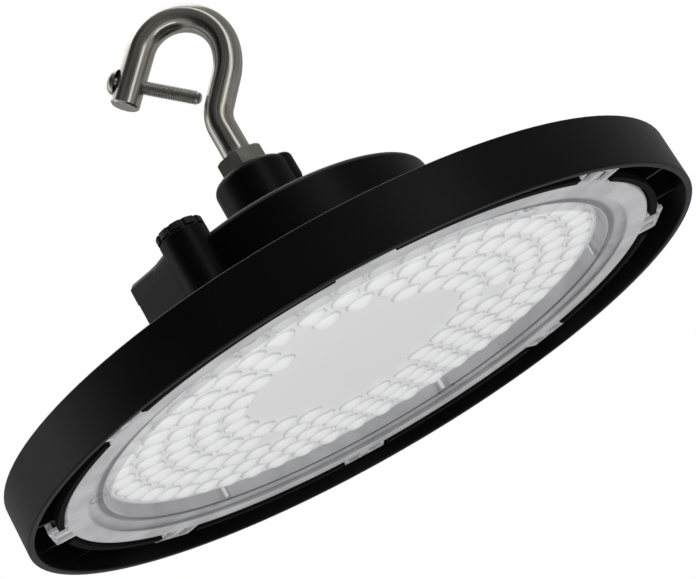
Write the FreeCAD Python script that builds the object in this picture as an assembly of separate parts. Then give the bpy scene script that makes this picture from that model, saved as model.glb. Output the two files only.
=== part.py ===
import FreeCAD, Part
import math
import os

from FreeCAD import Rotation, Vector

# LED high bay light that hangs from a hook: a round cast heat sink with the driver housing on top
# and a lens plate with one lenslet per LED underneath. Millimetres. The origin is the centre of the
# rim's lower edge, +Z points up along the hook, and the open side of the hook faces -X.

# ---- Heat sink: rim, base plate, ribs and fins ----
rim_wall = 2.8
rim_height = 20.5
rim_edge_round = 0.7
base_thickness = 3.0
channel_width = 10.7
rib_count = 24
rib_thickness = 1.6
rib_low = 7.0
fin_thickness = 2.0
fin_inner_height = 9.0
fin_outer_height = 1.6
fin_rim_gap = 6.5
fin_column_gap = 2.0

# ---- Lens plate ----
recess_radius = 107.0
lens_wall = 2.0
lens_low = 4.6
flange_thickness = 2.4
flange_width = 18.5
recess_depth = 7.9
plate_thickness = 1.8
dome_radius = 5.9
dome_height = 2.7
dome_tier_height = 1.6
dome_crown_radius = 1.9
dome_sides = 8
dome_gap = 0.2
dome_edge_gap = 1.1
domes_per_ring = (48, 43, 36, 30, 24)
ring_turn = (0.0, 0.2, 5.0, 3.6, 1.7)
connector_clear = 20.0
spacer_wall = 1.0
spacer_head_gap = 0.65

# ---- Snap clips on the lens edge and the wall that they hold on to ----
clip_count = 8
clip_turn = 7.5
clip_width = 20.0
clip_reach = 7.1
clip_thickness = 1.8
clip_bar = 1.6
clip_web = 4.0
clip_barb = 0.8
clip_barb_height = 1.4
clip_barb_gap = 0.3
clip_notch_gap = 1.0
catch_width = 17.0
catch_reach = 1.6
catch_height = 1.0
catch_low = 11.8
seat_gap = 1.0
seat_wall = 2.5
seat_low = 3.6

# ---- Silicone gaskets ----
gasket_width = 2.6
gasket_side_gap = 0.2
lens_gasket_height = 2.3
lens_gasket_lip = 0.3
gasket_rib_wall = 1.0
gasket_rib_offset = 11.0
foot_gasket_height = 1.8

# ---- LED board ----
board_edge_gap = 3.0
board_thickness = 1.6
led_size = 3.0
led_height = 0.7
board_screw_offset = 4.0
board_screw_turn = 15.0
board_outer_screws = 6
board_inner_screws = 3

# ---- Driver housing: drum, hook boss, sensor column and cable chamber ----
drum_radius = 61.5
drum_height = 45.3
drum_wall = 2.6
drum_edge_round = 2.5
foot_width = 7.5
foot_height = 3.5
hook_boss_radius = 16.3
hook_boss_height = 33.5
hook_boss_round = 4.0
lug_radius = 6.5
lug_reach = 18.4
lug_drop = 0.2
lug_round = 2.0
column_radius = 9.5
column_height = 49.1
column_turn = 238.4
column_offset = 1.1
chamber_turn = 221.7
chamber_reach = 6.5
chamber_width = 31.0
chamber_height = 50.5
chamber_root = 14.0
chamber_side_round = 2.0
chamber_top_round = 9.0
screw_boss_inset = 3.0
screw_boss_radius = 4.5
screw_boss_height = 14.0

# ---- Sensor port on top of the column ----
port_bore = 7.4
port_lead_bore = 6.0
port_depth = 9.6
port_fit = 0.2
socket_height = 7.0
socket_pin_hole = 0.8
socket_pin_circle = 3.6
cap_thickness = 2.8
cap_side_gap = 0.8
cap_edge_round = 0.6
cap_plug_wall = 1.6
cap_notches = 10
cap_notch_radius = 1.1
oring_radius = 8.1
oring_thickness = 1.0
cap_socket_gap = 0.3

# ---- Hook, lock nut and the screws that hold them ----
rod_radius = 6.0
hook_thread_radius = 5.75
thread_fit = 0.05
hook_thread_depth = 23.3
hook_bore_end_gap = 0.5
hook_thread_above = 1.5
hook_shank_rise = 22.5
hook_bend_radius = 14.0
hook_bend = 40.7
hook_slant_length = 12.9
hook_side_radius = 27.0
hook_side_bend = 30.7
hook_loop_radius = 18.2
hook_loop_bend = 147.1
hook_arm_length = 24.5
hook_tip_chamfer = 0.6
nut_across_flats = 19.0
nut_height = 7.7
nut_chamfer = 0.9
set_screw_radius = 2.5
set_screw_length = 8.0
set_screw_drop = 13.0
hex_key = 2.5
hex_key_depth = 3.0
safety_screw_radius = 2.9
safety_screw_tip_gap = 2.2
safety_screw_tip_round = 1.0
safety_screw_fit = 0.1
safety_screw_from_tip = 9.5
safety_head_radius = 5.5
safety_head_height = 3.2
safety_head_round = 1.8
cross_width = 1.2
cross_length = 6.0
cross_depth = 1.6

# ---- Cable gland and breather on the drum wall ----
entry_turn = 160.0
entry_height = 22.5
entry_pad_reach = 2.5
entry_pad_radius = 12.5
gland_thread_radius = 8.0
gland_thread_length = 9.0
gland_flats = 22.0
gland_flange_height = 5.0
gland_neck_radius = 8.6
gland_neck_length = 9.0
gland_bore = 5.8
gland_seal_wall = 1.6
gland_seal_fit = 0.1
gland_nut_radius = 10.6
gland_nut_length = 12.0
gland_nut_round = 2.4
gland_nut_mouth = 4.8
gland_grips = 12
gland_grip_radius = 0.9
gland_grip_length = 9.0
breather_turn = 100.0
breather_pad_radius = 9.0
breather_thread_radius = 5.0
breather_thread_length = 7.0
breather_head_radius = 8.0
breather_head_height = 4.5
breather_head_round = 1.2
breather_slots = 6
breather_slot_depth = 2.0
breather_slot_low = 1.0
breather_slot_height = 1.4

# ---- Driver and small parts inside the drum ----
driver_width = 56.0
driver_height = 30.0
driver_end_gap = 4.5
driver_corner_round = 4.0
driver_ear_width = 12.0
driver_ear_length = 8.0
driver_ear_thickness = 2.0
wire_hole_radius = 6.0
wire_hole_x = 17.0
wire_hole_gap = 0.4
grommet_wall = 1.4
grommet_lip = 1.6
grommet_fit = 0.1
earth_x = -20.0
earth_gap = 12.0

# ---- Fasteners ----
small_screw_radius = 1.5
small_head_radius = 2.75
small_head_height = 1.3
small_head_bevel = 0.7
small_screw_bite = 1.9
housing_screw_radius = 2.0
housing_head_radius = 3.8
housing_head_height = 1.9
housing_screw_length = 12.0
hole_fit = 0.1
overlap = 0.3

# ---- Heights and radii that follow from the sizes above ----
base_low = rim_height - base_thickness
flange_radius = recess_radius + flange_width
flange_top = lens_low + flange_thickness
seat_inner = flange_radius + seat_gap
seat_outer = seat_inner + seat_wall
rim_inner = seat_outer + channel_width
rim_radius = rim_inner + rim_wall
plate_low = lens_low + recess_depth
plate_top = plate_low + plate_thickness
board_low = base_low - board_thickness
gasket_rib_inner = recess_radius + gasket_rib_offset
board_radius = gasket_rib_inner - board_edge_gap
board_screw_circle = recess_radius + board_screw_offset
wire_hole_y = driver_width / 2 + wire_hole_radius + grommet_lip + wire_hole_gap
earth_y = -driver_width / 2 - earth_gap
groove_inner = gasket_rib_inner + gasket_rib_wall
groove_outer = groove_inner + gasket_width + 2 * gasket_side_gap
gasket_rib_outer = groove_outer + gasket_rib_wall
gasket_rib_low = flange_top + lens_gasket_lip
drum_top = rim_height + drum_height
drum_inner = drum_radius - drum_wall
foot_inner = drum_radius - foot_width
foot_groove_inner = foot_inner + (foot_width - gasket_width) / 2
screw_boss_circle = foot_inner - screw_boss_inset
hook_boss_top = drum_top + hook_boss_height
column_distance = drum_radius + column_offset
column_top = rim_height + column_height
chamber_face = drum_radius + chamber_reach
fin_inner = column_distance + column_radius + fin_column_gap
fin_outer = rim_radius - fin_rim_gap
entry_face = drum_radius + entry_pad_reach
entry_z = rim_height + entry_height
ring_pitch = 2 * dome_radius + dome_gap
first_ring = recess_radius - dome_edge_gap - dome_radius
screw_ring = 3
up = Vector(0, 0, 1)
origin = Vector(0, 0, 0)


def polar(radius, turn, z):
    """Point at a distance from the light's axis, at an angle from +X."""
    angle = math.radians(turn)
    return Vector(radius * math.cos(angle), radius * math.sin(angle), z)


def spun(shape, turn):
    """Copy of a shape turned about the light's axis."""
    copy = shape.copy()
    copy.rotate(origin, up, turn)
    return copy


def placed(shape, point, direction):
    """Copy of a shape made along +Z, moved so that it starts at a point and runs in a direction."""
    copy = shape.copy()
    copy.Placement = FreeCAD.Placement(point, Rotation(up, direction)).multiply(copy.Placement)
    return copy


def turned(profile):
    """Solid of revolution about the light's axis from (radius, height) points."""
    points = [Vector(radius, 0, z) for radius, z in profile]
    wire = Part.makePolygon(points + [points[0]])
    return Part.Face(wire).revolve(origin, up, 360)


def disc(radius, low, high, centre=origin):
    return Part.makeCylinder(radius, high - low, Vector(centre.x, centre.y, low))


def ring(inner, outer, low, high):
    return disc(outer, low, high).cut(disc(inner, low - 1, high + 1))


def radial_box(near, far, width, low, high, turn=0.0, side=0.0):
    """Box that runs outwards from the axis, shifted sideways and then turned to its place."""
    box = Part.makeBox(far - near, width, high - low, Vector(near, side - width / 2, low))
    return spun(box, turn)


def circle_edges(shape, radius, z):
    """Whole round edges of one radius at one height, about the light's axis."""
    found = []
    for edge in shape.Edges:
        curve = edge.Curve
        if isinstance(curve, Part.Circle) and abs(curve.Radius - radius) < 0.001:
            if abs(curve.Center.z - z) < 0.001 and curve.Center.sub(Vector(0, 0, z)).Length < 0.001:
                found.append(edge)
    return found


def hexagon(across_flats, height, turn=0.0):
    """Hexagonal prism on the XY plane with a corner at the given angle."""
    corner = across_flats / 2 / math.cos(math.radians(30))
    points = [polar(corner, turn + 60 * step, 0) for step in range(7)]
    return Part.Face(Part.makePolygon(points)).extrude(Vector(0, 0, height))


def small_screw(length):
    """Pan-head screw along +Z: the bevelled head lies below z = 0 and the shank above it."""
    head = Part.makeCylinder(small_head_radius, small_head_height, Vector(0, 0, -small_head_height))
    crown = [edge for edge in head.Edges if abs(edge.BoundBox.ZMax + small_head_height) < 0.001]
    head = head.makeChamfer(small_head_bevel, crown)
    return head.fuse(Part.makeCylinder(small_screw_radius, length))


# ---- Where the LEDs, lenslets and board screws stand ----
def board_screw_points():
    outer = [
        polar(board_screw_circle, board_screw_turn + step * 360 / board_outer_screws, board_low)
        for step in range(board_outer_screws)
    ]
    screw_radius = first_ring - screw_ring * ring_pitch
    first_turn = ring_turn[screw_ring] + 360 / domes_per_ring[screw_ring]
    inner = [
        polar(screw_radius, first_turn + step * 360 / board_inner_screws, board_low)
        for step in range(board_inner_screws)
    ]
    return outer + inner


def dome_places():
    """Radius and angle of each lenslet: five rings, with gaps at the screws and the connectors."""
    screws = board_screw_points()
    places = []
    for index, count in enumerate(domes_per_ring):
        radius = first_ring - index * ring_pitch
        for step in range(count):
            turn = ring_turn[index] + step * 360 / count
            spot = polar(radius, turn, board_low)
            at_screw = any(spot.sub(screw).Length < dome_radius for screw in screws)
            at_connector = index == len(domes_per_ring) - 1 and abs(spot.x) < connector_clear
            if not at_screw and not at_connector:
                places.append((radius, turn))
    return places


# ---- Heat sink ----
def heatsink_housing():
    """One casting: base plate, rim, lens seat wall, gasket rib, channel ribs and cooling fins."""
    groove_top = flange_top + lens_gasket_height
    body = turned([
        (0, base_low), (gasket_rib_inner, base_low), (gasket_rib_inner, gasket_rib_low),
        (groove_inner, gasket_rib_low), (groove_inner, groove_top), (groove_outer, groove_top),
        (groove_outer, gasket_rib_low), (gasket_rib_outer, gasket_rib_low),
        (gasket_rib_outer, base_low), (seat_inner, base_low), (seat_inner, seat_low),
        (seat_outer, seat_low), (seat_outer, base_low), (rim_inner, base_low), (rim_inner, 0),
        (rim_radius, 0), (rim_radius, rim_height), (0, rim_height),
    ])
    edges = circle_edges(body, rim_radius, rim_height) + circle_edges(body, rim_radius, 0)
    body = body.makeFillet(rim_edge_round, edges + circle_edges(body, rim_inner, 0))

    additions = []
    rib = radial_box(seat_outer - overlap, rim_inner + overlap, rib_thickness, rib_low, base_low + overlap)
    fin = Part.Face(Part.makePolygon([
        Vector(fin_inner, 0, rim_height - overlap), Vector(fin_outer, 0, rim_height - overlap),
        Vector(fin_outer, 0, rim_height + fin_outer_height),
        Vector(fin_inner, 0, rim_height + fin_inner_height),
        Vector(fin_inner, 0, rim_height - overlap),
    ])).extrude(Vector(0, fin_thickness, 0))
    fin.translate(Vector(0, -fin_thickness / 2, 0))
    for step in range(rib_count):
        additions.append(spun(rib, step * 360 / rib_count))
        additions.append(spun(fin, step * 360 / rib_count))

    cuts = []
    for step in range(clip_count):
        turn = clip_turn + step * 360 / clip_count
        catch = radial_box(
            seat_outer - overlap, seat_outer + catch_reach, catch_width,
            catch_low, catch_low + catch_height, turn,
        )
        additions.append(catch)
        cuts.append(radial_box(
            seat_inner - 1, seat_outer + 1, clip_width + 2 * clip_notch_gap,
            seat_low - 1, flange_top + clip_notch_gap, turn,
        ))
    for point in board_screw_points():
        cuts.append(disc(
            small_screw_radius + hole_fit, base_low - 1, base_low + small_screw_bite + hole_fit, point,
        ))
    for point in housing_screw_points():
        cuts.append(disc(housing_screw_radius + hole_fit, base_low - 1, rim_height + 1, point))
        cuts.append(Part.makeCone(
            housing_head_radius + hole_fit, housing_screw_radius + hole_fit, housing_head_height,
            Vector(point.x, point.y, base_low),
        ))
    for point in driver_screw_points() + [Vector(earth_x, earth_y, rim_height)]:
        low = rim_height - small_screw_bite - hole_fit
        cuts.append(disc(small_screw_radius + hole_fit, low, rim_height + 1, point))
    cuts.append(disc(wire_hole_radius, base_low - 1, rim_height + 1, Vector(wire_hole_x, wire_hole_y, 0)))
    return body.fuse(additions).cut(cuts).removeSplitter()


# ---- Lens plate with its lenslets and clips ----
def dome():
    """Faceted lenslet that hangs from the plate: two tiers of a round cap under a short root."""
    cap_sphere = (dome_radius ** 2 + dome_height ** 2) / (2 * dome_height)
    tier_drop = cap_sphere - dome_height + dome_tier_height
    tier_radius = math.sqrt(cap_sphere ** 2 - tier_drop ** 2)
    levels = [
        (dome_radius, plate_low + overlap), (dome_radius, plate_low),
        (tier_radius, plate_low - dome_tier_height), (dome_crown_radius, plate_low - dome_height),
    ]
    outlines = []
    for radius, z in levels:
        points = [polar(radius, step * 360 / dome_sides, z) for step in range(dome_sides)]
        outlines.append(points)
    faces = [Part.Face(Part.makePolygon(outlines[0] + [outlines[0][0]]))]
    faces.append(Part.Face(Part.makePolygon(outlines[-1] + [outlines[-1][0]])))
    for upper, lower in zip(outlines, outlines[1:]):
        for step in range(dome_sides):
            after = (step + 1) % dome_sides
            side = [upper[step], upper[after], lower[after], lower[step], upper[step]]
            faces.append(Part.Face(Part.makePolygon(side)))
    solid = Part.Solid(Part.Shell(faces))
    if solid.Volume < 0:
        solid.reverse()
    return solid


def clip():
    """Snap clip at angle 0: a frame with two windows and two barbed uprights on its outer bar."""
    end = flange_radius + clip_reach
    top = catch_low + catch_height + clip_barb_gap + clip_barb_height
    frame = radial_box(flange_radius - 1, end, clip_width, lens_low, lens_low + clip_thickness)
    window = (clip_width - clip_web) / 2 - clip_bar
    middle = (clip_web + window) / 2
    uprights = []
    for side in (-middle, middle):
        hole = radial_box(
            flange_radius + clip_bar, end - clip_bar, window,
            lens_low - 1, lens_low + clip_thickness + 1, 0, side,
        )
        frame = frame.cut(hole)
        uprights.append(radial_box(end - clip_bar, end, window - 1, lens_low, top, 0, side))
        uprights.append(radial_box(
            end - clip_bar - clip_barb, end - clip_bar + overlap, window - 1,
            top - clip_barb_height, top, 0, side,
        ))
    return frame.fuse(uprights)


def lens_plate():
    """Clear moulding: flange, recess wall, plate, lenslets, spacer tubes and snap clips."""
    body = turned([
        (0, plate_low), (recess_radius, plate_low), (recess_radius, lens_low),
        (flange_radius, lens_low), (flange_radius, flange_top),
        (recess_radius + lens_wall, flange_top), (recess_radius + lens_wall, plate_top),
        (0, plate_top),
    ])
    tube_inner = small_head_radius + spacer_head_gap
    additions = []
    holes = []
    for point in board_screw_points()[:board_outer_screws]:
        additions.append(disc(tube_inner + spacer_wall, flange_top - overlap, board_low - clip_barb_gap, point))
        holes.append(disc(tube_inner, flange_top, board_low + 1, point))
    for step in range(clip_count):
        additions.append(spun(clip(), clip_turn + step * 360 / clip_count))
    body = body.fuse(additions).cut(holes)

    one = dome()
    domes = []
    for radius, turn in dome_places():
        copy = one.copy()
        copy.translate(Vector(radius, 0, 0))
        domes.append(spun(copy, turn))
    return body.fuse(domes).removeSplitter()


def lens_gasket():
    inner = groove_inner + gasket_side_gap
    return ring(inner, inner + gasket_width, flange_top, flange_top + lens_gasket_height)


# ---- LED board ----
def led_board():
    """Aluminium-backed round board, screwed flat to the underside of the base plate."""
    board = disc(board_radius, board_low, base_low)
    holes = [disc(small_screw_radius + hole_fit, board_low - 1, base_low + 1, point)
             for point in board_screw_points()]
    holes.append(disc(wire_hole_radius, board_low - 1, base_low + 1, Vector(wire_hole_x, wire_hole_y, 0)))
    return board.cut(holes)


def leds():
    """One square LED above the middle of each lenslet."""
    half = led_size / 2
    chips = [radial_box(radius - half, radius + half, led_size, board_low - led_height, board_low, turn)
             for radius, turn in dome_places()]
    return Part.makeCompound(chips)


def board_screws():
    screw = small_screw(board_thickness + small_screw_bite)
    return Part.makeCompound([placed(screw, point, up) for point in board_screw_points()])


# ---- Driver housing ----
def housing_screw_points():
    return [polar(screw_boss_circle, step * 90, base_low) for step in range(4)]


def chamber_block(inset, top, top_round):
    """Block that grows out of the drum wall, with its outer edge at the top rounded over."""
    face = chamber_face - inset
    width = chamber_width - 2 * inset
    block = radial_box(drum_inner - chamber_root, face, width, rim_height, top)
    brow = [edge for edge in block.Edges
            if edge.BoundBox.XMin > face - 0.001 and edge.BoundBox.ZMin > top - 0.001]
    return block.makeFillet(top_round, brow)


def driver_housing():
    """One casting, open below: drum, foot ring, hook boss with its lug, sensor column, chamber."""
    drum = disc(drum_radius, rim_height, drum_top)
    drum = drum.makeFillet(drum_edge_round, circle_edges(drum, drum_radius, drum_top))

    boss = disc(hook_boss_radius, drum_top - overlap, hook_boss_top)
    boss = boss.makeFillet(hook_boss_round, circle_edges(boss, hook_boss_radius, hook_boss_top))
    lug = disc(lug_radius, drum_top - overlap, hook_boss_top - lug_drop)
    lug = lug.makeFillet(lug_round, circle_edges(lug, lug_radius, hook_boss_top - lug_drop))
    lug.translate(Vector(lug_reach - lug_radius, 0, 0))

    chamber_top = rim_height + chamber_height
    block = chamber_block(0, chamber_top, chamber_top_round)
    corners = [edge for edge in block.Edges
               if edge.BoundBox.XMin > drum_radius and edge.BoundBox.YLength < 0.001]
    block = spun(block.makeFillet(chamber_side_round, corners), chamber_turn)

    column_spot = polar(column_distance, column_turn, 0)
    column = disc(column_radius, rim_height, column_top, column_spot)

    inside = [disc(foot_inner, rim_height - 1, rim_height + foot_height + overlap)]
    inside.append(disc(drum_inner, rim_height + foot_height, drum_top - drum_wall))
    hollow = chamber_block(drum_wall, chamber_top - drum_wall, chamber_top_round - drum_wall)
    inside.append(spun(hollow, chamber_turn))
    inside.append(disc(port_lead_bore, rim_height + foot_height, column_top, column_spot))
    outer = drum.fuse([block, column, boss, lug])
    shell = outer.cut(inside)

    sealing = ring(foot_inner, drum_radius, rim_height, rim_height + foot_height)
    foot = block.common(disc(chamber_face + chamber_width, rim_height, rim_height + foot_height))
    additions = [sealing, foot.cut(disc(foot_inner, 0, drum_top))]
    for point in housing_screw_points():
        additions.append(disc(screw_boss_radius, rim_height, rim_height + screw_boss_height, point))
    for turn, radius in ((entry_turn, entry_pad_radius), (breather_turn, breather_pad_radius)):
        pad = Part.makeCylinder(radius, entry_face - drum_inner + 1)
        pad = placed(pad, polar(drum_inner - 1, turn, entry_z), polar(1, turn, 0))
        additions.append(pad.cut(disc(drum_inner, rim_height, drum_top)))
    shell = shell.fuse(additions)

    cuts = [ring(
        foot_groove_inner - gasket_side_gap, foot_groove_inner + gasket_width + gasket_side_gap,
        rim_height - 1, rim_height + foot_gasket_height,
    )]
    for point in housing_screw_points():
        cuts.append(disc(
            housing_screw_radius + thread_fit, rim_height - 1,
            base_low + housing_screw_length + 1, point,
        ))
    cuts.append(disc(port_bore, column_top - port_depth, column_top + 1, column_spot))
    cuts.append(disc(column_radius + cap_side_gap, column_top, chamber_top + 1, column_spot))
    hook_bore_low = hook_boss_top - hook_thread_depth - hook_bore_end_gap
    cuts.append(disc(hook_thread_radius + thread_fit, hook_bore_low, hook_boss_top + 1))
    hole = Part.makeCylinder(set_screw_radius + thread_fit, lug_reach + 1 - hook_thread_radius)
    cuts.append(placed(hole, Vector(hook_thread_radius, 0, hook_boss_top - set_screw_drop), Vector(1, 0, 0)))
    for turn, radius in ((entry_turn, gland_thread_radius), (breather_turn, breather_thread_radius)):
        hole = Part.makeCylinder(radius + hole_fit, 2 * radius + entry_face - drum_inner)
        cuts.append(placed(hole, polar(drum_inner - radius, turn, entry_z), polar(1, turn, 0)))
    return shell.cut(cuts).removeSplitter()


def housing_gasket():
    return ring(foot_groove_inner, foot_groove_inner + gasket_width, rim_height, rim_height + foot_gasket_height)


def housing_screws():
    """Countersunk screws from below, flush with the underside of the base plate."""
    head = Part.makeCone(housing_head_radius, housing_screw_radius, housing_head_height)
    screw = head.fuse(Part.makeCylinder(housing_screw_radius, housing_screw_length))
    return Part.makeCompound([placed(screw, point, up) for point in housing_screw_points()])


# ---- Sensor port ----
def sensor_socket():
    """Three-pole socket that stands on the ledge inside the column."""
    low = column_top - port_depth
    spot = polar(column_distance, column_turn, 0)
    socket = disc(port_bore - port_fit, low, low + socket_height, spot)
    pins = []
    for step in range(3):
        offset = polar(socket_pin_circle, column_turn + step * 120, 0)
        pins.append(disc(socket_pin_hole, low + 1, low + socket_height + 1, spot.add(offset)))
    return socket.cut(pins)


def sensor_cap():
    """Screw cap with a notched edge and a plug that enters the column."""
    low = column_top + oring_thickness
    plug_low = column_top - port_depth + socket_height + cap_socket_gap
    cap = disc(column_radius, low, low + cap_thickness)
    cap = cap.makeFillet(cap_edge_round, circle_edges(cap, column_radius, low + cap_thickness))
    notches = []
    for step in range(cap_notches):
        spot = polar(column_radius, step * 360 / cap_notches, 0)
        notches.append(disc(cap_notch_radius, low - 1, low + cap_thickness + 1, spot))
    cap = cap.cut(notches).fuse(disc(port_bore - port_fit, plug_low, low + overlap))
    cap = cap.cut(disc(port_bore - port_fit - cap_plug_wall, plug_low - 1, low))
    return placed(cap, polar(column_distance, column_turn, 0), up)


def sensor_cap_oring():
    section = oring_thickness / 2
    seal = Part.makeTorus(oring_radius, section, Vector(0, 0, column_top + section))
    return placed(seal, polar(column_distance, column_turn, 0), up)


# ---- Hook ----
class RodPath:
    """Follows a bent round rod in the XZ plane and keeps one solid for each run and bend."""

    def __init__(self, x, z):
        self.point = Vector(x, 0, z)
        self.heading = 0.0
        self.pieces = []

    def direction(self):
        angle = math.radians(self.heading)
        return Vector(math.sin(angle), 0, math.cos(angle))

    def run(self, length, radius):
        self.pieces.append(Part.makeCylinder(radius, length, self.point, self.direction()))
        self.point = self.point.add(self.direction() * length)

    def bend(self, bend_radius, turn, radius):
        """Turn to the right of the heading for a positive angle and to the left for a negative."""
        side = 1 if turn > 0 else -1
        ahead = self.direction()
        centre = self.point.add(Vector(ahead.z, 0, -ahead.x) * bend_radius * side)
        section = Part.Face(Part.Wire(Part.makeCircle(radius, self.point, ahead)))
        self.pieces.append(section.revolve(centre, Vector(0, 1, 0), turn))
        self.heading += turn
        arm = self.point.sub(centre)
        self.point = centre.add(Rotation(Vector(0, 1, 0), turn).multVec(arm))


def hook_path():
    path = RodPath(0, hook_boss_top - hook_thread_depth)
    thread_length = hook_thread_depth + nut_height + hook_thread_above
    path.run(thread_length, hook_thread_radius)
    path.run(hook_shank_rise - nut_height - hook_thread_above, rod_radius)
    path.bend(hook_bend_radius, hook_bend, rod_radius)
    path.run(hook_slant_length, rod_radius)
    path.bend(hook_side_radius, -hook_side_bend, rod_radius)
    path.bend(hook_loop_radius, -hook_loop_bend, rod_radius)
    return path


def safety_screw_place():
    """Middle of the cross hole through the hook's arm, and the way the screw points."""
    path = hook_path()
    ahead = path.direction()
    middle = path.point.add(ahead * (hook_arm_length - safety_screw_from_tip))
    return middle, Vector(-ahead.z, 0, ahead.x)


def safety_screw_length():
    """Length of shank from the head's seat to just short of the far side of the hook."""
    middle, way = safety_screw_place()
    seat = middle.sub(way * rod_radius)
    axis = Part.makeLine(middle.add(way * 2 * rod_radius), middle.add(way * 4 * hook_loop_radius))
    far_side = axis.common(Part.makeCompound(hook_path().pieces))
    return min(vertex.Point.sub(seat).dot(way) for vertex in far_side.Vertexes) - safety_screw_tip_gap


def hook():
    path = hook_path()
    path.run(hook_arm_length - hook_tip_chamfer, rod_radius)
    tip = Part.makeCone(rod_radius, rod_radius - hook_tip_chamfer, hook_tip_chamfer, path.point, path.direction())
    body = path.pieces[0].fuse(path.pieces[1:] + [tip])
    middle, way = safety_screw_place()
    reach = rod_radius + 1
    hole = Part.makeCylinder(safety_screw_radius + safety_screw_fit, 2 * reach, middle.sub(way * reach), way)
    return body.cut(hole).removeSplitter()


def lock_nut():
    """Hexagon nut with chamfered corners that locks the hook in its boss."""
    nut = hexagon(nut_across_flats, nut_height, -90)
    corner = nut_across_flats / 2 / math.cos(math.radians(30))
    turned_blank = Part.makeCylinder(corner, nut_height)
    blank_edges = [edge for edge in turned_blank.Edges if isinstance(edge.Curve, Part.Circle)]
    nut = nut.common(turned_blank.makeChamfer(nut_chamfer, blank_edges))
    nut = nut.cut(Part.makeCylinder(hook_thread_radius + thread_fit, nut_height + 2, Vector(0, 0, -1)))
    return placed(nut, Vector(0, 0, hook_boss_top), up)


def set_screw():
    """Grub screw with a hexagon socket that presses on the hook's thread through the lug."""
    screw = Part.makeCylinder(set_screw_radius, set_screw_length)
    socket = hexagon(hex_key, hex_key_depth + 1)
    socket.translate(Vector(0, 0, set_screw_length - hex_key_depth))
    start = Vector(hook_thread_radius + thread_fit, 0, hook_boss_top - set_screw_drop)
    return placed(screw.cut(socket), start, Vector(1, 0, 0))


def safety_screw():
    """Pan-head cross-recess screw that closes the mouth of the hook."""
    head = Part.makeCylinder(safety_head_radius, safety_head_height, Vector(0, 0, -safety_head_height))
    crown = [edge for edge in head.Edges if abs(edge.BoundBox.ZMax + safety_head_height) < 0.001]
    head = head.makeFillet(safety_head_round, crown)
    length = safety_screw_length()
    shank = Part.makeCylinder(safety_screw_radius, length)
    tip = [edge for edge in shank.Edges if abs(edge.BoundBox.ZMin - length) < 0.001]
    shank = shank.makeFillet(safety_screw_tip_round, tip)
    slots = []
    for length, width in ((cross_length, cross_width), (cross_width, cross_length)):
        corner = Vector(-length / 2, -width / 2, -safety_head_height - 1)
        slots.append(Part.makeBox(length, width, cross_depth + 1, corner))
    middle, way = safety_screw_place()
    return placed(head.fuse(shank).cut(slots), middle.sub(way * rod_radius), way)


# ---- Cable gland and breather ----
def on_drum(shape, turn):
    """Place a part made along +Z on its pad, pointing out of the drum."""
    return placed(shape, polar(entry_face, turn, entry_z), polar(1, turn, 0))


def gland_body():
    body = Part.makeCylinder(gland_thread_radius, gland_thread_length, Vector(0, 0, -gland_thread_length))
    neck = Part.makeCylinder(gland_neck_radius, gland_flange_height + gland_neck_length)
    body = body.fuse([hexagon(gland_flats, gland_flange_height), neck])
    length = gland_thread_length + gland_flange_height + gland_neck_length
    bore = Part.makeCylinder(gland_bore, length + 2, Vector(0, 0, -gland_thread_length - 1))
    return on_drum(body.cut(bore).removeSplitter(), entry_turn)


def gland_seal():
    """Rubber sleeve in the mouth of the gland body that grips the cable."""
    start = gland_flange_height
    outer = Part.makeCylinder(gland_bore - gland_seal_fit, gland_neck_length, Vector(0, 0, start))
    bore = Part.makeCylinder(gland_bore - gland_seal_wall, gland_neck_length + 2, Vector(0, 0, start - 1))
    return on_drum(outer.cut(bore), entry_turn)


def gland_nut():
    """Domed nut that screws over the neck and presses on the seal."""
    start = gland_flange_height + hole_fit
    nut = Part.makeCylinder(gland_nut_radius, gland_nut_length, Vector(0, 0, start))
    crown = [edge for edge in nut.Edges if edge.BoundBox.ZMin > start + gland_nut_length - 0.001]
    nut = nut.makeFillet(gland_nut_round, crown)
    thread_depth = gland_neck_length - hole_fit
    inside = Part.makeCylinder(gland_neck_radius + thread_fit, thread_depth, Vector(0, 0, start))
    mouth = Part.makeCylinder(gland_nut_mouth, gland_nut_length + 2, Vector(0, 0, start - 1))
    grips = []
    for step in range(gland_grips):
        spot = polar(gland_nut_radius, step * 360 / gland_grips, start)
        grips.append(Part.makeCylinder(gland_grip_radius, gland_grip_length, spot))
    return on_drum(nut.cut([inside, mouth] + grips), entry_turn)


def breather_plug():
    """Pressure-equalising plug with a slotted round head."""
    plug = Part.makeCylinder(breather_thread_radius, breather_thread_length, Vector(0, 0, -breather_thread_length))
    head = Part.makeCylinder(breather_head_radius, breather_head_height)
    crown = [edge for edge in head.Edges if edge.BoundBox.ZMin > breather_head_height - 0.001]
    head = head.makeFillet(breather_head_round, crown)
    slot = radial_box(
        breather_head_radius - breather_slot_depth, breather_head_radius + 1, breather_slot_depth,
        breather_slot_low, breather_slot_low + breather_slot_height,
    )
    slots = [spun(slot, step * 360 / breather_slots) for step in range(breather_slots)]
    return on_drum(plug.fuse(head).cut(slots), breather_turn)


# ---- Driver and small parts ----
def driver_screw_points():
    reach = driver_width / 2 + driver_ear_length / 2
    return [Vector(0, -reach, rim_height), Vector(0, reach, rim_height)]


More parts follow.
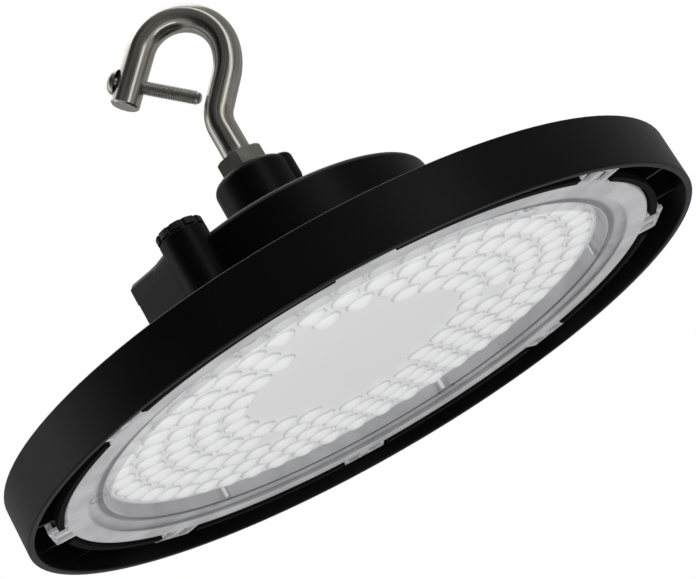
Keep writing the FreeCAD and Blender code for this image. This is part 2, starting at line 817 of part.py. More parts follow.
def driver():
    """Potted LED driver with a fixing ear at the middle of each long side."""
    half_length = screw_boss_circle - screw_boss_radius - driver_end_gap
    half_width = driver_width / 2
    case = Part.makeBox(
        2 * half_length, driver_width, driver_height, Vector(-half_length, -half_width, rim_height),
    )
    uprights = [edge for edge in case.Edges if edge.BoundBox.ZLength > driver_height - 0.001]
    case = case.makeFillet(driver_corner_round, uprights)
    reach = half_width + driver_ear_length
    ears = Part.makeBox(
        driver_ear_width, 2 * reach, driver_ear_thickness, Vector(-driver_ear_width / 2, -reach, rim_height),
    )
    holes = [disc(small_screw_radius + hole_fit, rim_height - 1, rim_height + driver_ear_thickness + 1, point)
             for point in driver_screw_points()]
    return case.fuse(ears).cut(holes).removeSplitter()


def driver_screws():
    screw = small_screw(driver_ear_thickness + small_screw_bite)
    down = Vector(0, 0, -1)
    lift = Vector(0, 0, driver_ear_thickness)
    return Part.makeCompound([placed(screw, point.add(lift), down) for point in driver_screw_points()])


def earth_screw():
    screw = small_screw(small_screw_bite)
    return placed(screw, Vector(earth_x, earth_y, rim_height), Vector(0, 0, -1))


def wire_grommet():
    """Rubber grommet in the hole that takes the leads from the driver to the LED board."""
    outer = wire_hole_radius - grommet_fit
    sleeve = disc(outer, board_low, rim_height + overlap)
    lip = disc(wire_hole_radius + grommet_lip, rim_height, rim_height + grommet_lip)
    bore = disc(outer - grommet_wall, board_low - 1, rim_height + grommet_lip + 1)
    return placed(sleeve.fuse(lip).cut(bore), Vector(wire_hole_x, wire_hole_y, 0), up)


sub_parts = (
    heatsink_housing, lens_plate, lens_gasket, led_board, leds, board_screws,
    driver_housing, housing_gasket, housing_screws, sensor_socket, sensor_cap, sensor_cap_oring,
    hook, lock_nut, set_screw, safety_screw, gland_body, gland_seal, gland_nut, breather_plug,
    driver, driver_screws, earth_screw, wire_grommet,
)

os.makedirs("parts", exist_ok=True)
for sub_part in sub_parts:
    sub_part().exportStep(f"parts/{sub_part.__name__}.step")
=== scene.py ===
import math

import bmesh
import bpy
from mathutils import Matrix, Vector


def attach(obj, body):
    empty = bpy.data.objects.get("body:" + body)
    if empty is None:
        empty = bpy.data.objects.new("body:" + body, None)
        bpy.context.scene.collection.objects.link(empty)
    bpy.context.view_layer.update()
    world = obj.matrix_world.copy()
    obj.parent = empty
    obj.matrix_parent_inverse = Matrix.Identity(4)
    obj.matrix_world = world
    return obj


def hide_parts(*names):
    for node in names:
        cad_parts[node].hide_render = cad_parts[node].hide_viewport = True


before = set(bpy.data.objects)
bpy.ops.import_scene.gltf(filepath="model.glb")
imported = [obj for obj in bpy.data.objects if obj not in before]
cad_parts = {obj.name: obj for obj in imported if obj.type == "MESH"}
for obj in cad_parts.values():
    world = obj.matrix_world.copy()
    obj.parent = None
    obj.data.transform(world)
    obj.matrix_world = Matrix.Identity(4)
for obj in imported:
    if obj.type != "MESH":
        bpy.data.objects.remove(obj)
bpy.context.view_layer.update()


# Camera. It stands below the light and a little in front, turned on its side by about thirty
# degrees, and looks up into the lens.
camera_place = Vector((-0.00546, -0.66846, -0.16148))
camera_turn = 1.394
camera_tilt = 16.548
camera_roll = 30.30
camera_lens = 93.0

camera_data = bpy.data.cameras.new("camera")
camera_data.lens = camera_lens
camera_data.sensor_width = 36.0
camera_data.clip_start = 0.01
camera = bpy.data.objects.new("camera", camera_data)
turn = Matrix.Rotation(math.radians(-camera_turn), 4, "Z")
tilt = Matrix.Rotation(math.radians(90 + camera_tilt), 4, "X")
roll = Matrix.Rotation(math.radians(-camera_roll), 4, "Z")
camera.matrix_world = Matrix.Translation(camera_place) @ turn @ tilt @ roll
bpy.context.collection.objects.link(camera)
bpy.context.scene.camera = camera


# Studio. A pale floor far below the light, a white backdrop and two large soft lamps. The room's
# walls light the metal: bright panels and dark screens stand around it, given by bearing.
floor_height = -0.9
floor_size = 6.0
floor_color = (0.86, 0.86, 0.86, 1.0)
room_light = 2.2
room_bearings = (
    (0.0, 0.7), (0.03, 0.15), (0.09, 0.006), (0.17, 0.012), (0.25, 0.07), (0.33, 0.02), (0.355, 1.0),
    (0.375, 1.0), (0.40, 0.02), (0.45, 0.13), (0.75, 0.2), (0.92, 0.15), (0.97, 0.7),
)

floor_mesh = bpy.data.meshes.new("floor")
shape = bmesh.new()
bmesh.ops.create_grid(shape, x_segments=1, y_segments=1, size=floor_size / 2)
bmesh.ops.translate(shape, verts=shape.verts, vec=(0, 0, floor_height))
shape.to_mesh(floor_mesh)
shape.free()
floor = bpy.data.objects.new("floor", floor_mesh)
bpy.context.collection.objects.link(floor)
floor_paint = bpy.data.materials.new("floor_paint")
floor_paint.use_nodes = True
paint = floor_paint.node_tree.nodes["Principled BSDF"].inputs
paint["Base Color"].default_value = floor_color
paint["Roughness"].default_value = 0.9
floor_mesh.materials.append(floor_paint)

world = bpy.data.worlds.new("room")
world.use_nodes = True
bpy.context.scene.world = world
nodes, links = world.node_tree.nodes, world.node_tree.links
seen = nodes["Background"]
seen.inputs["Color"].default_value = (1, 1, 1, 1)
seen.inputs["Strength"].default_value = 1.0
lit = nodes.new("ShaderNodeBackground")
lit.inputs["Strength"].default_value = room_light
heading = nodes.new("ShaderNodeTexCoord")
bearing = nodes.new("ShaderNodeTexGradient")
bearing.gradient_type = "RADIAL"
walls = nodes.new("ShaderNodeValToRGB")
for place, value in room_bearings[2:]:
    walls.color_ramp.elements.new(place)
for element, (place, value) in zip(walls.color_ramp.elements, room_bearings):
    element.position = place
    element.color = (value, value, value, 1)
links.new(heading.outputs["Generated"], bearing.inputs["Vector"])
links.new(bearing.outputs["Fac"], walls.inputs["Fac"])
links.new(walls.outputs["Color"], lit.inputs["Color"])
ray = nodes.new("ShaderNodeLightPath")
choice = nodes.new("ShaderNodeMixShader")
links.new(ray.outputs["Is Camera Ray"], choice.inputs["Fac"])
links.new(lit.outputs["Background"], choice.inputs[1])
links.new(seen.outputs["Background"], choice.inputs[2])
links.new(choice.outputs["Shader"], nodes["World Output"].inputs["Surface"])
bpy.context.scene.view_settings.view_transform = "Standard"


def lamp(name, place, target, size, power):
    """Square soft lamp aimed at a point."""
    data = bpy.data.lights.new(name, "AREA")
    data.shape = "SQUARE"
    data.size = size
    data.energy = power
    light = bpy.data.objects.new(name, data)
    facing = (Vector(target) - Vector(place)).to_track_quat("-Z", "Y")
    light.matrix_world = Matrix.Translation(Vector(place)) @ facing.to_matrix().to_4x4()
    bpy.context.collection.objects.link(light)


lamp("lower_lamp", place=(0.0, -0.5, -0.85), target=(0, 0, 0), size=0.9, power=8.4)
lamp("top_lamp", place=(0.0, 0.5, 1.6), target=(0, 0, 0.05), size=1.6, power=13)


# Castings. The heat sink and the driver housing are die-cast aluminium with a satin black powder
# coat: a fine orange-peel surface with small changes of gloss. The drum's top edge round gets a
# painted highlight, a paler base colour, and the underside of the seat wall around the lens is duller.
drum_top = 0.0658
drum_edge_low = 0.0635
drum_edge_inner = 0.0592
drum_edge_outer = 0.0617
seat_edge_inner = 0.1250
seat_edge_outer = 0.1296
seat_edge_top = 0.0065
# Colour of the painted highlight on the drum's top edge round.
painted_edge_highlight = (0.045, 0.045, 0.045, 1.0)
dark_coat = (0.002, 0.002, 0.002)
pale_coat = (0.004, 0.004, 0.004)


class Socket:
    """Output of a shader node that takes part in sums, so that 1 - mask adds its nodes."""

    def __init__(self, finish, output):
        self.finish = finish
        self.output = output

    def _math(self, operation, first, second):
        return self.finish.node("ShaderNodeMath", {"operation": operation}, {0: first, 1: second})

    def __add__(self, other):
        return self._math("ADD", self, other)

    def __radd__(self, other):
        return self._math("ADD", other, self)

    def __sub__(self, other):
        return self._math("SUBTRACT", self, other)

    def __rsub__(self, other):
        return self._math("SUBTRACT", other, self)

    def __mul__(self, other):
        return self._math("MULTIPLY", self, other)

    def __rmul__(self, other):
        return self._math("MULTIPLY", other, self)

    def __truediv__(self, other):
        return self._math("DIVIDE", self, other)

    def clamp(self):
        """The same signal held between 0 and 1."""
        return self.finish.node("ShaderNodeClamp", {}, {"Value": self})

    def above(self, level, fade):
        """1 above a level and 0 below it, changing over a short fade."""
        return ((self - level) / fade).clamp()

    def below(self, level, fade):
        """1 below a level and 0 above it, changing over a short fade."""
        return ((level - self) / fade).clamp()


class Finish:
    """Material with a Principled shader whose constants are given by socket name."""

    def __init__(self, name, color, **constants):
        self.material = bpy.data.materials.new(name)
        self.material.use_nodes = True
        self.tree = self.material.node_tree
        self.shader = self.tree.nodes["Principled BSDF"]
        self.shader.inputs["Base Color"].default_value = (*color, 1)
        for socket, value in constants.items():
            self.shader.inputs[socket.replace("_", " ")].default_value = value

    def node(self, kind, settings, inputs, output=0):
        """Adds a node: its settings first, then the values or links of its sockets."""
        made = self.tree.nodes.new(kind)
        for name, value in settings.items():
            if name == "stops":
                while len(made.color_ramp.elements) < len(value):
                    made.color_ramp.elements.new(1.0)
                for element, (place, color) in zip(made.color_ramp.elements, value):
                    element.position = place
                    element.color = (*color, 1) if len(color) == 3 else color
            else:
                setattr(made, name, value)
        for name, value in inputs.items():
            if isinstance(value, Socket):
                self.tree.links.new(value.output, made.inputs[name])
            else:
                made.inputs[name].default_value = value
        return Socket(self, made.outputs[output])

    def place(self):
        """Position on the piece, in metres."""
        return self.node("ShaderNodeTexCoord", {}, {}, "Object")

    def height_and_reach(self):
        """Height on the piece and distance from the light's axis, in metres."""
        place = self.place()
        height = self.node("ShaderNodeSeparateXYZ", {}, {"Vector": place}, "Z")
        flatten = {0: place, 1: (1, 1, 0)}
        flat = self.node("ShaderNodeVectorMath", {"operation": "MULTIPLY"}, flatten, "Vector")
        reach = self.node("ShaderNodeVectorMath", {"operation": "LENGTH"}, {0: flat}, "Value")
        return height, reach

    def noise(self, scale, detail=2.0, vector=None):
        inputs = {"Vector": vector or self.place(), "Scale": scale, "Detail": detail}
        return self.node("ShaderNodeTexNoise", {}, inputs, "Fac")

    def mix(self, mask, first, second):
        """Colour that goes from the first to the second as the mask goes from 0 to 1."""
        return self.node("ShaderNodeMix", {"data_type": "RGBA"}, {0: mask, 6: first, 7: second}, 2)

    def ramp(self, signal, stops):
        """Colour that follows a signal through (place, colour) stops."""
        return self.node("ShaderNodeValToRGB", {"stops": stops}, {"Fac": signal}, "Color")

    def mottled(self, scale, dark, pale):
        """Base colour that wanders between two shades."""
        self.feed("Base Color", self.ramp(self.noise(scale), [(0.3, dark), (0.7, pale)]))

    def feed(self, socket, signal):
        self.tree.links.new(signal.output, self.shader.inputs[socket])

    def bump(self, height, strength, distance):
        inputs = {"Height": height, "Strength": strength, "Distance": distance}
        self.feed("Normal", self.node("ShaderNodeBump", {}, inputs, "Normal"))

    def on(self, *objects):
        for one in objects:
            one.data.materials.clear()
            one.data.materials.append(self.material)


def node_object(name):
    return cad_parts[name]


powder_coat = Finish("powder_coat", (0.003, 0.003, 0.003), Specular_IOR_Level=0.12)
grain = powder_coat.noise(1400, 3)
cloud = powder_coat.noise(28, 2)
tint = powder_coat.ramp(cloud * 0.6 + grain * 0.4, [(0.3, dark_coat), (0.75, pale_coat)])
height, reach = powder_coat.height_and_reach()
on_seat = reach.above(seat_edge_inner, 0.0003) * reach.below(seat_edge_outer, 0.0003)
on_seat = on_seat * height.below(seat_edge_top, 0.0005)
powder_coat.feed("Roughness", 0.30 + cloud * 0.12 + grain * 0.06 + on_seat * 0.5)
# Painted highlight: the drum's top edge round gets a paler base colour, where light would catch it.
highlight_band = height.above(drum_edge_low, 0.0003) * height.below(drum_top + 0.0002, 0.0002)
highlight_band = highlight_band * (reach.above(drum_edge_inner, 0.0004) * reach.below(drum_edge_outer, 0.0002))
powder_coat.feed("Base Color", powder_coat.mix(highlight_band, tint, painted_edge_highlight))
powder_coat.bump(grain, 0.25, 0.0001)
powder_coat.on(node_object("heatsink_housing"), node_object("driver_housing"))


# Chamber brow. At its left end the cable chamber's top corner is nearly square, and it runs out
# into the plain round towards the sensor column. It is a wedge of metal cast in one with the
# driver housing, under the same powder coat.
chamber_turn = 221.7
chamber_face = 0.068
chamber_top = 0.0710
chamber_round = 0.009
brow_left = -0.0146
brow_right = 0.001
brow_corner = 0.0022
brow_steps = 12


def piece(name, shape, finish, smooth=40.0):
    """Makes the object, gives it its finish and lets it ride on the light."""
    mesh = bpy.data.meshes.new(name)
    shape.to_mesh(mesh)
    shape.free()
    mesh.shade_smooth()
    mesh.set_sharp_from_angle(angle=math.radians(smooth))
    made = bpy.data.objects.new(name, mesh)
    bpy.context.collection.objects.link(made)
    finish.on(made)
    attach(made, "root")
    return made


def brow_edge(shape, along, fullness):
    """Quarter turn over the chamber's top edge, from the plain round (0) to a full corner (1)."""
    heel = Vector((chamber_face - chamber_round, along, chamber_top - chamber_round))
    spots = []
    for step in range(brow_steps + 1):
        angle = math.radians(90 * step / brow_steps)
        out, lift = math.cos(angle), math.sin(angle)
        square = min(1 / max(out, lift), (2 - brow_corner / chamber_round) / (out + lift))
        swell = 1 + (square - 1) * fullness
        spots.append(shape.verts.new(heel + Vector((out, 0, lift)) * chamber_round * swell))
    return [shape.edges.new(pair) for pair in zip(spots, spots[1:])]


shape = bmesh.new()
crest = brow_edge(shape, brow_left, 1.0)
flank = brow_edge(shape, brow_left, 0.0)
tail = brow_edge(shape, brow_right, 0.0)
for first, second in ((crest, flank), (flank, tail), (tail, crest)):
    bmesh.ops.bridge_loops(shape, edges=first + second)
bmesh.ops.remove_doubles(shape, verts=shape.verts, dist=1e-6)
bmesh.ops.recalc_face_normals(shape, faces=shape.faces)
chamber_way = Matrix.Rotation(math.radians(chamber_turn), 3, "Z")
bmesh.ops.rotate(shape, verts=shape.verts, cent=(0, 0, 0), matrix=chamber_way)
piece("chamber_brow", shape, powder_coat, 35)


# Lens plate. One clear polycarbonate moulding over the white LED board: a flange, a recess wall
# and a plate with rings of lenslets. Eight snap clips on its edge, with two windows each, hook
# over the catches on the seat wall. The recess wall and the flange show what lies behind them.
recess_radius = 0.107
flange_radius = 0.1255
lens_low = 0.0046
flange_top = 0.0070
plate_low = 0.0125
plate_top = 0.0143
wall_top_radius = 0.109
lens_round = 0.0006
lens_steps = 192
flange_clear_radius = 0.117
lens_clearness = 0.78
# Painted shade band in the corner between the flange and the recess wall: its outer radius and its colour.
groove_shade_radius = 0.1128
groove_shade_color = (0.06, 0.06, 0.065, 1.0)
dome_radius = 0.0059
dome_height = 0.0027
dome_root = 0.0003
dome_sides = 16
dome_levels = 10
dome_squareness = 3.0
dome_fullness = 1.5
first_ring = 0.1
ring_pitch = 0.012
domes_per_ring = (48, 43, 36, 30, 24)
ring_turn = (0.0, 0.2, 5.0, 3.6, 1.7)
screw_ring = 3
screw_turn = 15.6
connector_clear = 0.020
tube_count = 6
tube_turn = 15.0
tube_steps = 24
tube_circle = 0.111
tube_radius = 0.0044
tube_bore = 0.0034
tube_top = 0.0156
clip_count = 8
clip_turn = 7.5
clip_width = 0.020
clip_reach = 0.0071
clip_thickness = 0.0018
clip_bar = 0.0016
clip_web = 0.004
clip_top = 0.0145
clip_barb = 0.0008
clip_barb_height = 0.0014
clip_edge = 0.0003
clip_lap = 0.0005
clip_root = 0.001


def polar(radius, turn, z=0.0):
    """Point at a distance from the light's axis and an angle in degrees."""
    angle = math.radians(turn)
    return Vector((radius * math.cos(angle), radius * math.sin(angle), z))


def turned(shape, profile, steps):
    """Closed body of revolution about Z from (radius, height) corners; the first and last corner
    may lie on the axis."""
    corners = [shape.verts.new((radius, 0, z)) for radius, z in profile]
    edges = [shape.edges.new(pair) for pair in zip(corners, corners[1:])]
    if profile[0][0] > 0:
        edges.append(shape.edges.new((corners[-1], corners[0])))
    bmesh.ops.spin(
        shape, geom=corners + edges, cent=(0, 0, 0), axis=(0, 0, 1),
        angle=math.tau, steps=steps, use_merge=True, use_duplicate=False,
    )
    bmesh.ops.remove_doubles(shape, verts=shape.verts, dist=1e-6)
    bmesh.ops.recalc_face_normals(shape, faces=shape.faces)


def block(shape, low, high, turn, edge):
    """Box between two corners, with a bevelled edge, turned about Z."""
    made = bmesh.ops.create_cube(shape, size=1.0)["verts"]
    low, high = Vector(low), Vector(high)
    size = high - low
    bmesh.ops.scale(shape, verts=made, vec=size)
    bmesh.ops.translate(shape, verts=made, vec=(low + high) / 2)
    way = Matrix.Rotation(math.radians(turn), 3, "Z")
    bmesh.ops.rotate(shape, verts=made, cent=(0, 0, 0), matrix=way)
    rims = list({rim for vert in made for rim in vert.link_edges})
    bmesh.ops.bevel(shape, geom=rims, offset=edge, segments=2, affect="EDGES", profile=0.5, material=-1)


def dome_places():
    """Angle and radius of every lenslet, with gaps at the board screws and the connectors."""
    screws = [polar(first_ring - screw_ring * ring_pitch, screw_turn + 120 * step) for step in range(3)]
    places = []
    for index, count in enumerate(domes_per_ring):
        radius = first_ring - index * ring_pitch
        for step in range(count):
            turn = ring_turn[index] + step * 360 / count
            spot = polar(radius, turn)
            at_screw = any((spot - screw).length < dome_radius for screw in screws)
            at_connector = index == len(domes_per_ring) - 1 and abs(spot.x) < connector_clear
            if not at_screw and not at_connector:
                places.append((radius, turn))
    return places


# The lens emits a little light of its own colour: a painted glow, not a lamp.
clear_lens = Finish("clear_lens", (0.7, 0.7, 0.71), Roughness=0.22, IOR=1.5, Emission_Strength=0.2)
height, reach = clear_lens.height_and_reach()
mottle = clear_lens.noise(70, 4)
rise = (height - lens_low) / (plate_low - lens_low)
# The recess wall's colour is painted shade: darkest in a band near its foot at the flange, paler towards the
# plate.
wall_tone_and_shade = clear_lens.ramp(rise + mottle * 0.03, [
    (0.0, (0.50, 0.50, 0.51)), (0.06, (0.30, 0.30, 0.31)), (0.2, (0.08, 0.08, 0.085)),
    (0.4, (0.26, 0.26, 0.27)), (0.8, (0.40, 0.40, 0.41)), (1.0, (0.55, 0.55, 0.56)),
])
flange_tone = clear_lens.ramp(mottle, [(0.35, (0.36, 0.36, 0.37)), (0.65, (0.47, 0.47, 0.48))])
# Lenslets are painted a little paler than the plate between them, and a line of painted shade runs round
# each lenslet's foot.
dome_tone_and_shade = clear_lens.ramp(rise, [
    (0.62, (0.70, 0.70, 0.705)), (0.88, (0.72, 0.72, 0.725)), (0.95, (0.50, 0.50, 0.51)),
    (0.992, (0.50, 0.50, 0.51)), (1.0, (0.66, 0.66, 0.665)),
])
on_wall = reach.above(recess_radius - 0.0004, 0.0003)
on_flange = reach.above(recess_radius + 0.0004, 0.0008)
# Painted shade: a dark band on the flange's top face, in the corner next to the recess wall.
groove_shade_mask = height.above(flange_top - 0.0003, 0.0002) * reach.above(wall_top_radius + 0.0003, 0.0002)
groove_shade_mask = groove_shade_mask * reach.below(groove_shade_radius, 0.0015)
outer_tone = clear_lens.mix(on_flange, wall_tone_and_shade, flange_tone)
outer_tone = clear_lens.mix(groove_shade_mask, outer_tone, groove_shade_color)
tone = clear_lens.mix(on_wall, dome_tone_and_shade, outer_tone)
clear_lens.feed("Base Color", tone)
# Painted glow: the lens gives off its own colour, painted shade included, at a fifth of full strength.
clear_lens.feed("Emission Color", tone)
before_flange = reach.below(wall_top_radius - 0.001, 0.0002)
under_plate = height.below(plate_low - 0.0006, 0.0003)
underside = height.below(lens_low + lens_round, 0.0002)
over_wall = reach.below(flange_clear_radius, 0.0015)
clear_zone = clear_lens.node(
    "ShaderNodeMath", {"operation": "MAXIMUM", "use_clamp": True},
    {0: on_wall * before_flange * under_plate, 1: on_wall * underside * over_wall},
)
clear_lens.feed("Alpha", 1.0 - clear_zone * lens_clearness)

shape = bmesh.new()
turned(shape, [
    (0, plate_low), (recess_radius - lens_round, plate_low), (recess_radius, plate_low - lens_round),
    (recess_radius, lens_low + lens_round), (recess_radius + lens_round, lens_low),
    (flange_radius - lens_round, lens_low), (flange_radius, lens_low + lens_round),
    (flange_radius, flange_top), (wall_top_radius, flange_top), (wall_top_radius, plate_top), (0, plate_top),
], lens_steps)

lenslet = bmesh.new()
bmesh.ops.create_uvsphere(lenslet, u_segments=dome_sides, v_segments=dome_levels, radius=1.0)
cut = bmesh.ops.bisect_plane(
    lenslet, geom=lenslet.verts[:] + lenslet.edges[:] + lenslet.faces[:], dist=1e-6,
    plane_co=(0, 0, 0), plane_no=(0, 0, 1), clear_outer=True,
)
rim = [item for item in cut["geom_cut"] if isinstance(item, bmesh.types.BMEdge)]
bmesh.ops.edgeloop_fill(lenslet, edges=rim)
for vert in lenslet.verts:
    around = math.atan2(vert.co.y, vert.co.x)
    total = abs(math.cos(around)) ** dome_squareness + abs(math.sin(around)) ** dome_squareness
    squared = total ** (-1 / dome_squareness)
    vert.co.x *= squared * dome_radius
    vert.co.y *= squared * dome_radius
    vert.co.z = -(dome_height + dome_root) * abs(vert.co.z) ** dome_fullness
lenslet_mesh = bpy.data.meshes.new("lenslet")
lenslet.to_mesh(lenslet_mesh)
lenslet.free()

field = bmesh.new()
for radius, turn in dome_places():
    before = len(field.verts)
    field.from_mesh(lenslet_mesh)
    field.verts.ensure_lookup_table()
    made = field.verts[before:]
    way = Matrix.Rotation(math.radians(turn), 3, "Z")
    bmesh.ops.rotate(field, verts=made, cent=(0, 0, 0), matrix=way)
    bmesh.ops.translate(field, verts=made, vec=polar(radius, turn, plate_low + dome_root))
field.to_mesh(lenslet_mesh)
field.free()
shape.from_mesh(lenslet_mesh)
bpy.data.meshes.remove(lenslet_mesh)

for step in range(tube_count):
    tube = bmesh.new()
    turned(tube, [
        (tube_bore, flange_top), (tube_radius, flange_top), (tube_radius, tube_top), (tube_bore, tube_top),
    ], tube_steps)
    bmesh.ops.translate(tube, verts=tube.verts, vec=polar(tube_circle, tube_turn + step * 360 / tube_count))
    scratch = bpy.data.meshes.new("tube")
    tube.to_mesh(scratch)
    tube.free()
    shape.from_mesh(scratch)
    bpy.data.meshes.remove(scratch)

clip_end = flange_radius + clip_reach
clip_high = lens_low + clip_thickness
side = clip_width / 2
window = (clip_width - clip_web) / 2 - clip_bar
window_middle = (clip_web + window) / 2
for step in range(clip_count):
    turn = clip_turn + step * 360 / clip_count
    block(shape, (clip_end - clip_bar, -side, lens_low), (clip_end, side, clip_high), turn, clip_edge)
    for low, high in ((-side, clip_bar - side), (-clip_web / 2, clip_web / 2), (side - clip_bar, side)):
        block(
            shape, (flange_radius - clip_root, low, lens_low), (clip_end - clip_lap, high, clip_high),
            turn, clip_edge,
        )
    for middle in (-window_middle, window_middle):
        low, high = middle - window / 2 + clip_lap, middle + window / 2 - clip_lap
        block(shape, (clip_end - clip_bar, low, lens_low), (clip_end, high, clip_top), turn, clip_edge)
        block(
            shape, (clip_end - clip_bar - clip_barb, low, clip_top - clip_barb_height),
            (clip_end - clip_lap, high, clip_top), turn, clip_edge,
        )
lens = piece("lens", shape, clear_lens)
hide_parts("lens_plate")


# LED board. A round aluminium board with white solder resist, screwed up against the base plate,
# with one LED under each lenslet: a small package filled with yellow phosphor. It shows as the
# white ground behind the clear lens.
board_white = Finish("board_white", (0.8, 0.8, 0.79), Roughness=0.5)
board_white.mottled(60, (0.74, 0.74, 0.73), (0.82, 0.82, 0.81))
board_white.on(node_object("led_board"))
phosphor = Finish("phosphor", (0.85, 0.7, 0.2), Roughness=0.35)
phosphor.mottled(900, (0.8, 0.62, 0.15), (0.9, 0.76, 0.3))
phosphor.on(node_object("leds"))


# Gaskets and grommets. The rings under the lens and under the driver housing are cut from grey
# silicone; the cable gland's seal, the wire grommet and the sensor cap's ring are black rubber.
silicone = Finish("silicone", (0.45, 0.45, 0.44), Roughness=0.6)
silicone.mottled(300, (0.40, 0.40, 0.39), (0.48, 0.48, 0.47))
silicone.on(node_object("lens_gasket"), node_object("housing_gasket"))
black_rubber = Finish("black_rubber", (0.02, 0.02, 0.02), Roughness=0.7)
black_rubber.bump(black_rubber.noise(1200), 0.2, 0.0001)
black_rubber.on(*(node_object(name) for name in ("gland_seal", "wire_grommet", "sensor_cap_oring")))


# Hook. A 12 mm stainless rod, bent cold, with fine lengthwise drawing lines that follow its own
# length. Its lower end is threaded and screwed into the boss on the driver housing.
rod_radius = 0.0060
rod_sides = 48
thread_radius = 0.00575
shank_low = 0.076
thread_length = 0.0325
thread_runout = 0.0003
shank_rise = 0.0133
bend_radius = 0.014
bend_turn = 40.7
slant_length = 0.0129
side_radius = 0.027
side_turn = 30.7
loop_radius = 0.0182
loop_turn = 147.1
arm_length = 0.0245
tip_chamfer = 0.0006
bend_step = 3.0
steel_color = (0.56, 0.54, 0.49)
line_color = (0.308, 0.297, 0.2695)
lines_around = 60
lines_along = 30

hook_steel = Finish("hook_steel", steel_color, Metallic=1.0)
flow = hook_steel.node("ShaderNodeTexCoord", {}, {}, "UV")
spread = {"Vector": flow, "Scale": (lines_around, lines_along, 1.0)}
lines = hook_steel.noise(1.0, 3.0, hook_steel.node("ShaderNodeMapping", {}, spread, "Vector"))
hook_steel.feed("Roughness", 0.14 + lines * 0.20)
hook_steel.feed("Base Color", hook_steel.ramp(lines, [(0.35, line_color), (0.65, steel_color)]))
hook_steel.bump(lines, 0.12, 0.0001)


class Rod:
    """Round rod drawn out ring by ring in the XZ plane, with its length and girth as UV."""

    def __init__(self, radius, low):
        self.shape = bmesh.new()
        self.girth = self.shape.verts.layers.float.new("girth")
        self.length = self.shape.verts.layers.float.new("length")
        self.centre = Vector((0, 0, low))
        self.ahead = Vector((0, 0, 1))
        self.travelled = 0.0
        made = bmesh.ops.create_circle(self.shape, radius=radius, segments=rod_sides, cap_ends=False)
        ring = made["verts"]
        bmesh.ops.translate(self.shape, verts=ring, vec=self.centre)
        for step, vert in enumerate(ring):
            vert[self.girth] = step / rod_sides
        self.edges = list({rim for vert in ring for rim in vert.link_edges})
        self.first = self.edges

    def extend(self):
        """Extrudes the open end and gives the vertices of its new ring."""
        made = bmesh.ops.extrude_edge_only(self.shape, edges=self.edges)["geom"]
        ring = [item for item in made if isinstance(item, bmesh.types.BMVert)]
        sides = [item for item in made if isinstance(item, bmesh.types.BMEdge)]
        self.edges = [side for side in sides if set(side.verts) <= set(ring)]
        return ring

    def run(self, length, swell=1.0, steps=1):
        """Straight length, whose end may be wider or narrower."""
        for _ in range(steps):
            ring = self.extend()
            bmesh.ops.translate(self.shape, verts=ring, vec=self.ahead * length / steps)
            self.centre = self.centre + self.ahead * length / steps
            self.travelled += length / steps
            self.mark(ring)
        bmesh.ops.translate(self.shape, verts=ring, vec=-self.centre)
        bmesh.ops.scale(self.shape, verts=ring, vec=(swell, swell, swell))
        bmesh.ops.translate(self.shape, verts=ring, vec=self.centre)

    def bend(self, radius, turn):
        """Bend about a pivot to one side, in degrees."""
        side = 1 if turn > 0 else -1
        pivot = self.centre + Vector((self.ahead.z, 0, -self.ahead.x)) * radius * side
        steps = math.ceil(abs(turn) / bend_step)
        rotation = Matrix.Rotation(math.radians(turn / steps), 3, "Y")
        for _ in range(steps):
            ring = self.extend()
            bmesh.ops.rotate(self.shape, verts=ring, cent=pivot, matrix=rotation)
            self.centre = pivot + rotation @ (self.centre - pivot)
            self.ahead = rotation @ self.ahead
            self.travelled += radius * math.radians(abs(turn)) / steps
            self.mark(ring)

    def mark(self, ring):
        """Notes how far along the rod a ring lies."""
        for vert in ring:
            vert[self.length] = self.travelled

    def finish(self):
        """Closes both ends and lays out the UV map: girth across, length along."""
        bmesh.ops.edgeloop_fill(self.shape, edges=self.first)
        bmesh.ops.edgeloop_fill(self.shape, edges=self.edges)
        bmesh.ops.recalc_face_normals(self.shape, faces=self.shape.faces)
        flow = self.shape.loops.layers.uv.new("flow")
        for face in self.shape.faces:
            wraps = max(loop.vert[self.girth] for loop in face.loops) > 0.9
            for loop in face.loops:
                around = loop.vert[self.girth]
                around = around + 1 if wraps and around < 0.1 else around
                loop[flow].uv = (around, loop.vert[self.length])
        return self.shape


rod = Rod(thread_radius, shank_low)
rod.run(thread_length)
rod.run(thread_runout, rod_radius / thread_radius)
rod.run(shank_rise - thread_runout, steps=3)
rod.bend(bend_radius, bend_turn)
rod.run(slant_length, steps=3)
rod.bend(side_radius, -side_turn)
rod.bend(loop_radius, -loop_turn)
arm_start, arm_way = rod.centre.copy(), rod.ahead.copy()
rod.run(arm_length - tip_chamfer, steps=6)
rod.run(tip_chamfer, 1 - tip_chamfer / rod_radius)
hook = piece("hook_rod", rod.finish(), hook_steel)
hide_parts("hook")


# Lock nut. A stainless M12 nut turned down on the hook's thread against the boss, dull from
# tumbling, with a faint turned finish.
nut_steel = Finish("nut_steel", (0.2, 0.2, 0.17), Metallic=1.0)
rub = nut_steel.noise(500, 3)
nut_steel.feed("Roughness", 0.34 + rub * 0.12)
nut_steel.mottled(120, (0.17, 0.17, 0.145), (0.24, 0.24, 0.21))
nut_steel.bump(rub, 0.15, 0.0001)
nut_steel.on(node_object("lock_nut"))


# Safety screw. An M6 pan-head screw of stainless steel through the hook's arm, which closes the
# hook's mouth. Its thread is rolled over the full shank.
screw_radius = 0.0029
screw_core = 0.00245
screw_length = 0.036
screw_pitch = 0.001
screw_from_tip = 0.0095
screw_turn_steps = 20
screw_tip_round = 0.0008
head_radius = 0.0055
head_height = 0.0032
thread_start = 0.0008
thread_end = 0.0012
thread_depth_lap = 0.0001
crest_low = 0.44
crest_high = 0.56

screw_steel = Finish("screw_steel", (0.5, 0.48, 0.44), Metallic=1.0)
screw_steel.feed("Roughness", 0.22 + screw_steel.noise(700) * 0.15)
screw_steel.mottled(200, (0.42, 0.41, 0.37), (0.54, 0.52, 0.48))

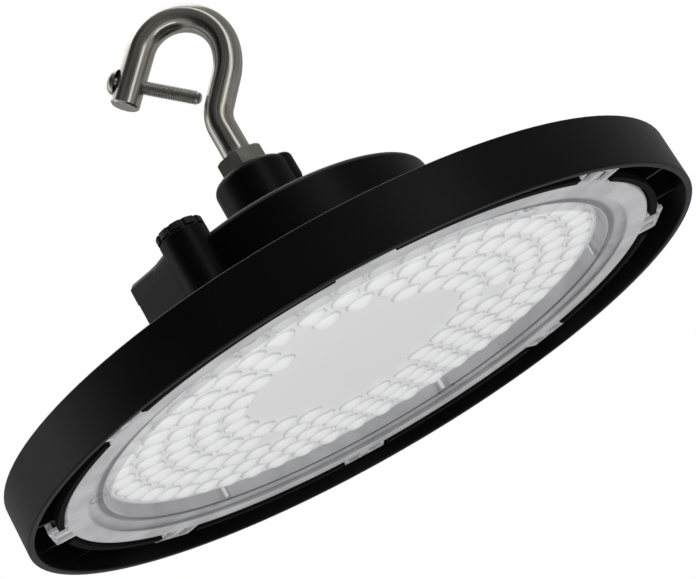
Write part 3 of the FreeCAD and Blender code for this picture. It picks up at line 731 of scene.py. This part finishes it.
shape = bmesh.new()
turned(shape, [
    (0, -head_height), (head_radius * 0.45, -head_height), (head_radius * 0.78, -head_height * 0.86),
    (head_radius * 0.95, -head_height * 0.55), (head_radius, -head_height * 0.2), (head_radius, 0),
    (screw_core, 0), (screw_core, screw_length - screw_tip_round),
    (screw_core - screw_tip_round, screw_length), (0, screw_length),
], 48)
thread_root = screw_core - thread_depth_lap
corners = [shape.verts.new((radius, 0, thread_start + screw_pitch * share)) for radius, share in (
    (thread_root, 0), (screw_radius, crest_low), (screw_radius, crest_high), (thread_root, 1),
)]
sides = [shape.edges.new(pair) for pair in zip(corners, corners[1:] + corners[:1])]
turns = int((screw_length - screw_tip_round - thread_end) / screw_pitch)
shape.faces.new(corners)
grown = bmesh.ops.spin(
    shape, geom=corners + sides, cent=(0, 0, 0), axis=(0, 0, 1),
    dvec=(0, 0, screw_pitch / screw_turn_steps),
    angle=math.tau * turns, steps=turns * screw_turn_steps, use_merge=False, use_duplicate=False,
)
last = [item for item in grown["geom_last"] if isinstance(item, bmesh.types.BMVert)]
shape.faces.new(last)
bmesh.ops.recalc_face_normals(shape, faces=shape.faces)
screw_way = Vector((-arm_way.z, 0, arm_way.x))
screw_start = arm_start + arm_way * (arm_length - screw_from_tip) - screw_way * rod_radius
screw_turned = screw_way.to_track_quat("Z", "Y").to_matrix()
bmesh.ops.rotate(shape, verts=shape.verts, cent=(0, 0, 0), matrix=screw_turned)
bmesh.ops.translate(shape, verts=shape.verts, vec=screw_start)
safety = piece("safety_screw_threaded", shape, screw_steel, 35)
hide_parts("safety_screw")


# Other screws. The board, housing and driver screws and the hook's set screw are plain stainless
# steel. The earth screw, tapped into the base plate inside the drum, is brass.
plain_steel = Finish("plain_steel", (0.55, 0.55, 0.53), Metallic=1.0)
plain_steel.feed("Roughness", 0.28 + plain_steel.noise(600) * 0.15)
steel_screws = ("board_screws", "housing_screws", "driver_screws", "set_screw")
plain_steel.on(*(node_object(name) for name in steel_screws))
brass = Finish("brass", (0.72, 0.55, 0.25), Metallic=1.0)
brass.feed("Roughness", 0.3 + brass.noise(500) * 0.15)
brass.on(node_object("earth_screw"))


# Black plastic parts. The sensor cap and socket, the cable gland and the breather are moulded in
# black nylon with a fine spark-eroded texture, and screw or plug into the driver housing.
black_nylon = Finish("black_nylon", (0.012, 0.012, 0.012), Specular_IOR_Level=0.4)
texture = black_nylon.noise(1800, 2)
black_nylon.feed("Roughness", 0.42 + texture * 0.12)
black_nylon.bump(texture, 0.2, 0.0001)
nylon_parts = ("sensor_socket", "sensor_cap", "gland_body", "gland_nut", "breather_plug")
black_nylon.on(*(node_object(name) for name in nylon_parts))


# Driver. A grey plastic case potted with resin. It stands on the base plate inside the drum and is
# held by a screw through the ear at each end.
potting = Finish("potting", (0.5, 0.5, 0.5), Roughness=0.5)
potting.mottled(80, (0.45, 0.45, 0.45), (0.55, 0.55, 0.55))
potting.on(node_object("driver"))
